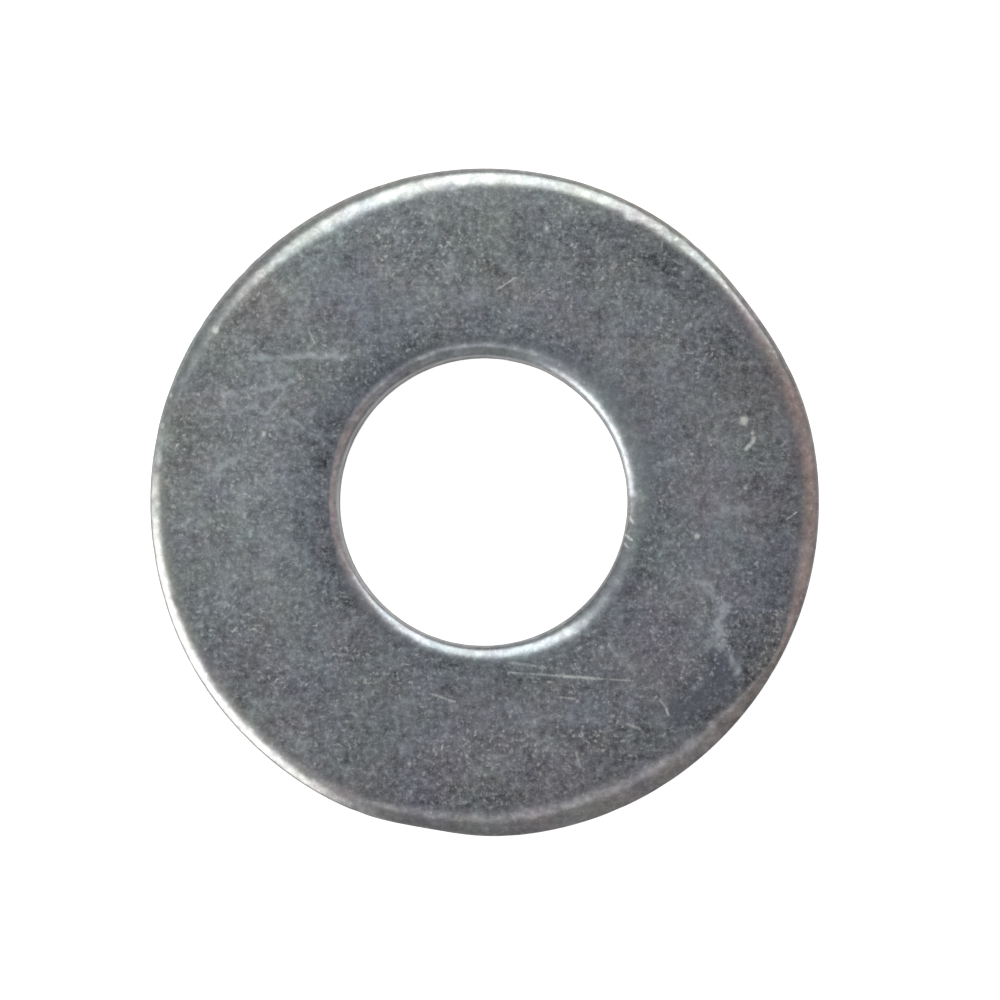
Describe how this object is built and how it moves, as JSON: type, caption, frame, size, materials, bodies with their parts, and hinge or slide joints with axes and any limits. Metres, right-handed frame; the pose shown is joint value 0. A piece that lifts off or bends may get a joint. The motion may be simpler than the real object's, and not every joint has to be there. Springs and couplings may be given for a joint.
{
  "type": "flat washer",
  "caption": "Large-diameter flat washer in zinc-plated steel that spreads a bolt head's or nut's load over a wide ring.",
  "frame": {"origin": "on the hole's axis, in the plane of the lower bearing face", "axes": "+Z along the hole's axis, towards the face with the rolled edges; the ring is round, so +X and +Y are alike"},
  "size_m": [0.024, 0.024, 0.002],
  "materials": {
    "zinc_plate": "barrel zinc plated, satin with a fine mottled grain"
  },
  "bodies": {
    "root": {"washer": "zinc_plate"}
  },
  "joints": []
}
